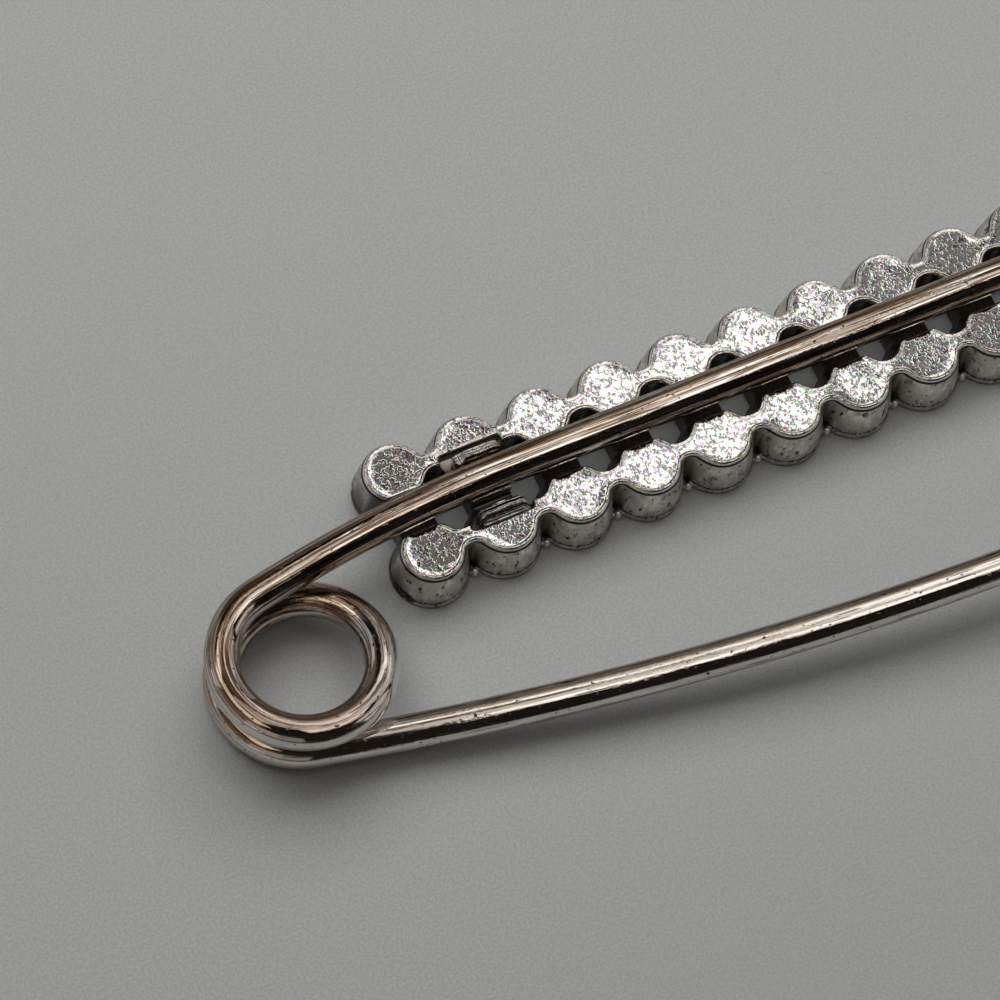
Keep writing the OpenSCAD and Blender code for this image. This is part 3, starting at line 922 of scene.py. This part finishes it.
def makeWireMetal():
    material, tree, shader = newMaterial("drawnNickelWire")
    look = wireFinish
    across = parts(tree, namedValue(tree, "skinAcross", "Vector"))
    skinX = times(tree, across[0], 1 / mm)
    skinY = times(tree, across[1], 1 / mm)
    lengthwise = times(tree, namedValue(tree, "skinAlong"), 1 / mm)

    def skin(name):
        run = times(tree, lengthwise, look[name]["along"])
        spot = addNode(tree, "ShaderNodeCombineXYZ", {0: skinX, 1: skinY, 2: run}).outputs[0]
        return layer(tree, spot, look[name])

    place = parts(tree, objectSpot(tree))

    def where(axis, name):
        start, end, low, high = look[name]
        return ramp(tree, place[axis], home[axis] / mm + start, home[axis] / mm + end, low, high)

    handled = where(1, "handled")
    normal = addNode(tree, "ShaderNodeTexCoord").outputs["Normal"]
    shaded = ramp(tree, parts(tree, normal)[1], *look["turnedAway"])
    warm = times(tree, skin("warm"), handled)
    # On top of the bend and the coil, lengthwise dark red-brown bands are painted as a reflection
    brownReflection = times(tree, skin("brownReflectionBands"), where(0, "bent"))
    brownReflection = times(tree, brownReflection, where(2, "upperSide"))
    streaks = times(tree, skin("streaks"), handled)
    dark = largest(tree, skin("specks"), times(tree, skin("scores"), look["scoresDark"]))
    colour = mixColour(tree, warm, look["nickel"], look["copper"])
    colour = mixColour(tree, brownReflection, colour, look["paintedBrownReflection"])
    # the streaks, and painted shade on the side turned away from the pin arm, take the dark brown
    colour = mixColour(tree, largest(tree, streaks, shaded), colour, look["streakAndShade"])
    colour = mixColour(tree, dark, colour, look["pit"])
    lines = skin("lines")
    worn = skin("worn")
    share = look["rough"]
    rough = weighed(tree, share["least"], share, lines=lines, worn=worn, dark=dark)
    feed(tree, shader, {"Base Color": colour, "Metallic": 1.0, "Roughness": rough})
    least, more = look["chatterDeep"]
    height = mathNode(tree, "MULTIPLY_ADD", worn, more, least)
    height = mathNode(tree, "MULTIPLY_ADD", skin("chatter"), height, lines)
    height = mathNode(tree, "MULTIPLY_ADD", dark, look["pitDeep"], height)
    addBump(tree, shader, height, look["lineDeep"])
    return material


# Hood: a folded sheet that grips the bar's wire, half covered above, and catches the point
hood = {
    "off": 1.0,          # from the bar's end to the mouth
    "long": 14.0,
    "thick": 3.6,
    "wall": 0.5,
    "corner": 5.0,
    "gripW": 1.3,
    "coverW": 6.0,
    "armGap": 0.06,
    "boreGap": 0.03,
    "soft": {"plan": 0.4, "mouth": 0.1, "inside": 0.18, "corner": 0.9, "window": 0.2, "bore": 0.06},
    "step": 0.1,
    "quickStep": 0.2,
    "flatten": 0.8,      # the step upwards, against the others
    "margin": 0.3,
    "keep": 120000,      # triangles
}
mouthX = (bar["cells"] - 1) * bar["pitch"] + bar["rimR"] + hood["off"]
hoodEnd = mouthX + hood["long"]
hoodR = hood["thick"] / 2
hoodIn = hoodR - hood["wall"]
hoodSide = armPoint(armReach(mouthX))[1] - wire["radius"] - hood["armGap"] + hoodIn


def hoodShell(x, y, z, inset, fromX):
    r = hoodR - inset
    farX = hoodEnd - inset
    corner = hood["corner"] - inset
    section = np.sqrt(np.maximum(np.maximum(hoodSide - y, y), 0) ** 2 + (z - wireZ) ** 2) - r
    # The plan has two rounded far corners
    midY = hoodSide / 2
    halfY = r - hoodSide / 2
    px = np.maximum(x - (farX - corner), 0)
    py = np.maximum(np.abs(y - midY) - (halfY - corner), 0)
    plan = np.sqrt(px ** 2 + py ** 2) - corner
    px = np.maximum(x - (farX - r), 0)
    edge = np.sqrt(px ** 2 + (z - wireZ) ** 2) - r
    soft = hood["soft"]
    shell = roundMax(roundMax(section, plan, soft["plan"]), edge, soft["plan"])
    return roundMax(shell, fromX - x, soft["mouth"])


def hoodField(x, y, z):
    gripY = -wire["radius"] - hood["gripW"]
    coverY = hoodSide - hoodR + hood["coverW"]
    outer = hoodShell(x, y, z, 0.0, mouthX)
    inner = np.maximum(hoodShell(x, y, z, hood["wall"], mouthX - 3), y - gripY)
    soft = hood["soft"]
    body = roundMax(outer, -inner, soft["inside"])
    low = (mouthX - 4, coverY, wireZ)
    high = (hoodEnd - hood["corner"], gripY, wireZ + 6)
    body = roundMax(body, -boxField(x, y, z, low, high, soft["corner"]), soft["window"])
    bore = np.maximum(-besideWire(y, z, hood["boreGap"]), x - mouthX - wire["wireIn"])
    return roundMax(body, -bore, soft["bore"])


def makeHood(material):
    room = hood["margin"]
    low = (mouthX - room, hoodSide - hoodR - room, wireZ - hoodR - room)
    high = (hoodEnd + room, hoodR + room, wireZ + hoodR + room)
    step = hood["step"]
    verts, faces = surfaceFrom(hoodField, low, high, (step, step, step * hood["flatten"]))
    piece = meshPiece("claspHood", toFrame(verts), faces, material)
    smooth(piece)
    thin(piece, hood["keep"])
    print("hood:", len(piece.data.polygons), "faces")
    return piece


# Polished sheet for the hood, with faint wiping marks
sheetFinish = {
    "bright": (0.74, 0.72, 0.70),
    "dull": (0.66, 0.62, 0.58),
    "marks": {"scale": 6.0, "detail": 4.0, "rough": 0.65},
    "clouds": {"scale": 0.35, "rough": 0.5, "range": (0.4, 0.7)},
    "rough": (0.10, 0.22),    # where there are no marks, and what they add
    "deep": 0.004,
    "bump": 0.35,
}


def makeSheetMetal():
    material, tree, shader = newMaterial("polishedSheet")
    marks = layer(tree, objectSpot(tree, (0.08, 1.0, 1.0)), sheetFinish["marks"])
    clouds = layer(tree, objectSpot(tree), sheetFinish["clouds"])
    colour = mixColour(tree, clouds, sheetFinish["bright"], sheetFinish["dull"])
    least, more = sheetFinish["rough"]
    rough = mathNode(tree, "MULTIPLY_ADD", marks, more, least)
    feed(tree, shader, {"Base Color": colour, "Metallic": 1.0, "Roughness": rough})
    addBump(tree, shader, marks, sheetFinish["deep"], sheetFinish["bump"])
    return material


# Clear cut glass with a faint cold tint and fine handling marks
glassFinish = {
    "clear": (0.97, 0.985, 1.0),
    "handled": (0.93, 0.955, 0.98),
    "marks": {"scale": 2.2},
    "marksShow": (0.4, 0.7),
    "rough": 0.03,
    "bending": 1.56,
}


def makeStoneGlass():
    material, tree, shader = newMaterial("cutGlass")
    marks = layer(tree, objectSpot(tree), glassFinish["marks"])
    shown = ramp(tree, marks, *glassFinish["marksShow"])
    colour = mixColour(tree, shown, glassFinish["clear"], glassFinish["handled"])
    rough = times(tree, marks, glassFinish["rough"])
    feed(tree, shader, {"Base Color": colour, "Roughness": rough, "Transmission Weight": 1.0,
                        "IOR": glassFinish["bending"]})
    return material


# Camera: measured from where the wires, the coil and the settings lie in the picture
shot = {
    "target": (5.0488, -0.1786, 0.0),
    "distance": 179.933,
    "elevation": 65.401,
    "turn": -36.898,
    "roll": 12.76,
    "focal": 3.47904,    # in picture widths
}


def makeCamera():
    elevation, turn, roll = (math.radians(shot[name]) for name in ("elevation", "turn", "roll"))
    back = Vector((math.sin(turn) * math.cos(elevation), -math.cos(turn) * math.cos(elevation),
                   math.sin(elevation)))
    right = (-back).cross(Vector((0, 0, 1))).normalized()
    up = right.cross(-back)
    across = math.cos(roll) * right + math.sin(roll) * up
    upright = -math.sin(roll) * right + math.cos(roll) * up
    data = bpy.data.cameras.new("camera")
    data.sensor_fit = "HORIZONTAL"
    data.sensor_width = 36
    data.lens = shot["focal"] * data.sensor_width
    data.clip_start = 0.005
    data.clip_end = 5
    camera = bpy.data.objects.new("camera", data)
    place = home + Vector(shot["target"]) * mm + back * shot["distance"] * mm
    camera.matrix_world = Matrix([*zip(across, upright, back, place), (0, 0, 0, 1)])
    bpy.context.scene.collection.objects.link(camera)
    bpy.context.scene.camera = camera


# Lights: soft boxes given by the slopes (x/z and y/z) that they cover above the first settings.
# The mirror boxes and the walls show in the metal, and the floor boxes light the table and cast
# the shadows. The floor boxes hang lower, so that no two lamps overlap in one plane
lights = {
    "height": {"mirror": 0.40, "floor": 0.36},
    "mirror": {    # slopes across and along, glow and tint
        "nearBox": ((0.02, 0.80), (-0.45, -0.10), 1.35, (1.0, 0.96, 0.91)),
        "middleBox": ((-0.35, 1.10), (-0.10, 0.25), 0.66, (1.0, 0.94, 0.87)),
        "whiteBox": ((0.305, 0.465), (0.25, 0.47), 1.35, (1.0, 0.99, 0.97)),
        "gapBox": ((-0.50, 0.17), (0.25, 0.47), 0.07, (1.0, 0.45, 0.24)),
        "greyBox": ((0.17, 0.305), (0.25, 0.47), 0.12, (1.0, 0.92, 0.86)),
        "dimBox": ((0.465, 1.00), (0.25, 0.60), 0.16, (1.0, 0.96, 0.90)),
        "farBox": ((-0.90, 0.475), (0.47, 0.75), 1.25, (1.0, 0.95, 0.88)),
        "rightBox": ((0.475, 1.00), (0.60, 0.75), 1.40, (1.0, 0.95, 0.88)),
        "rimBox": ((0.28, 1.00), (0.75, 0.95), 0.85, (1.0, 0.93, 0.84)),
        "edgeBox": ((0.34, 1.20), (0.95, 1.50), 0.40, (1.0, 0.90, 0.78)),
        "outerBox": ((1.15, 2.40), (-0.30, 0.75), 0.55, (1.0, 0.96, 0.91)),
        "sideBox": ((-0.90, -0.50), (-0.40, 0.47), 0.70, (1.0, 0.84, 0.60)),
    },
    "floor": {
        "overBox": ((-0.70, 1.30), (-0.55, 0.23), 0.24, (1.0, 0.98, 0.95)),
        "slantBox": ((-0.70, 1.30), (0.23, 0.63), 1.92, (1.0, 0.98, 0.95)),
        "lowBox": ((-0.70, 1.30), (0.63, 1.47), 2.20, (1.0, 0.98, 0.95)),
    },
    "walls": {    # metres from and to on the plan, from and to upwards, glow and tint
        "backWall": ((-0.6, 0.75), (0.9, 0.75), (0.05, 0.48), 0.11, (1.0, 0.80, 0.62)),
        "leftWall": ((-0.75, -0.50), (-0.75, 0.50), (0.04, 0.20), 0.30, (1.0, 0.97, 0.93)),
        "rightWall": ((1.05, -0.20), (1.05, 0.70), (0.05, 0.62), 0.30, (1.0, 0.95, 0.90)),
        "cornerWall": ((0.68, -0.80), (1.08, -0.30), (0.08, 0.85), 0.45, (1.0, 0.97, 0.93)),
        "farCorner": ((-0.95, 0.35), (-0.35, 0.95), (0.08, 0.80), 0.30, (1.0, 0.97, 0.93)),
        "nearCorner": ((-0.95, -0.30), (-0.30, -0.95), (0.08, 0.60), 0.18, (1.0, 0.97, 0.93)),
        "brownWall": ((-0.80, -0.80), (-0.80, 0.60), (0.23, 0.72), 0.12, (1.0, 0.55, 0.34)),
    },
    "room": (0.011, 0.009, 0.008),
}


def makeLamp(name, size, place, glow, tint):
    data = bpy.data.lights.new(name, "AREA")
    data.shape = "RECTANGLE"
    data.size, data.size_y = size
    data.energy = glow * math.pi * size[0] * size[1]
    data.color = tint
    lamp = bpy.data.objects.new(name, data)
    lamp.location = home + Vector(place)
    bpy.context.scene.collection.objects.link(lamp)
    return lamp


def makeLights():
    for kind in ("mirror", "floor"):
        height = lights["height"][kind]
        for name, (x, y, glow, tint) in lights[kind].items():
            size = ((x[1] - x[0]) * height, (y[1] - y[0]) * height)
            place = (sum(x) / 2 * height, sum(y) / 2 * height, height)
            lamp = makeLamp(name, size, place, glow, tint)
            lamp.visible_diffuse = kind == "floor"
            lamp.visible_glossy = kind == "mirror"
    for name, (start, end, z, glow, tint) in lights["walls"].items():
        middle = (Vector(start) + Vector(end)) / 2
        size = ((Vector(end) - Vector(start)).length, z[1] - z[0])
        lamp = makeLamp(name, size, (*middle, sum(z) / 2), glow, tint)
        lamp.visible_diffuse = False
        lamp.rotation_mode = "QUATERNION"
        lamp.rotation_quaternion = Vector((-middle.x, -middle.y, 0)).to_track_quat("-Z", "Y")
    world = bpy.data.worlds.new("room")
    world.use_nodes = True
    glow = {"Color": (*lights["room"], 1), "Strength": 1.0}
    feed(world.node_tree, world.node_tree.nodes["Background"], glow)
    bpy.context.scene.world = world
    bpy.context.scene.view_settings.view_transform = "Standard"


# Table: a pale plastic sheet with a very fine matt grain
table = {
    "half": 1.2,         # metres
    "colour": (0.635, 0.654, 0.665),
    "darker": 0.84,
    "grain": {"scale": 7.0},
    "grainShows": (0.35, 0.65),
    "clouds": {"scale": 0.02, "detail": 2.0, "rough": 0.5, "range": (0.3, 0.7, 0.0, 0.2)},
    "rough": 0.55,
    "gloss": 0.3,
    "deep": 0.045,
    "bump": 0.5,
}


def makeTable():
    material, tree, shader = newMaterial("paleSheet")
    spot = objectSpot(tree)
    grainNoise = layer(tree, spot, table["grain"])
    clouds = layer(tree, spot, table["clouds"])
    darker = [c * table["darker"] for c in table["colour"]]
    shown = ramp(tree, grainNoise, *table["grainShows"])
    colour = mixColour(tree, shown, darker, table["colour"])
    colour = mixColour(tree, clouds, colour, darker)
    feed(tree, shader, {"Base Color": colour, "Roughness": table["rough"],
                        "Specular IOR Level": table["gloss"]})
    addBump(tree, shader, grainNoise, table["deep"], table["bump"])
    half = table["half"]
    corners = [(-half, -half, 0), (half, -half, 0), (half, half, 0), (-half, half, 0)]
    meshPiece("tableTop", corners, [(0, 1, 2, 3)], material)


print("camera, lights and table")
makeCamera()
makeLights()
makeTable()

print("wires")
wireMetal = makeWireMetal()
sweep = sweepTree()
backWire = makeWire("backWire", *backRoute(), sweep, wireMetal)
pinWire = makeWire("pinWire", *pinRoute(), sweep, wireMetal)

print("casting and crimps")
castMetal = makeCastMetal()
castBar = makeBar(castMetal)
crimpTabs = makeTabs(castMetal)

print("hood")
claspHood = makeHood(makeSheetMetal())

print("stones")
stoneGlass = makeStoneGlass()
for name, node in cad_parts.items():
    if "stone" in name:
        node.data.materials.clear()
        node.data.materials.append(stoneGlass)

print("placing on the bodies")
for piece, node, slotName in ((backWire, "back_wire", "wire_metal"), (castBar, "bar", "bar_metal"),
                              (claspHood, "clasp_cap", "hood_metal")):
    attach(piece, "brooch")
    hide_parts(node)
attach(crimpTabs, "brooch")
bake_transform(pinWire)
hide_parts("pin_wire")
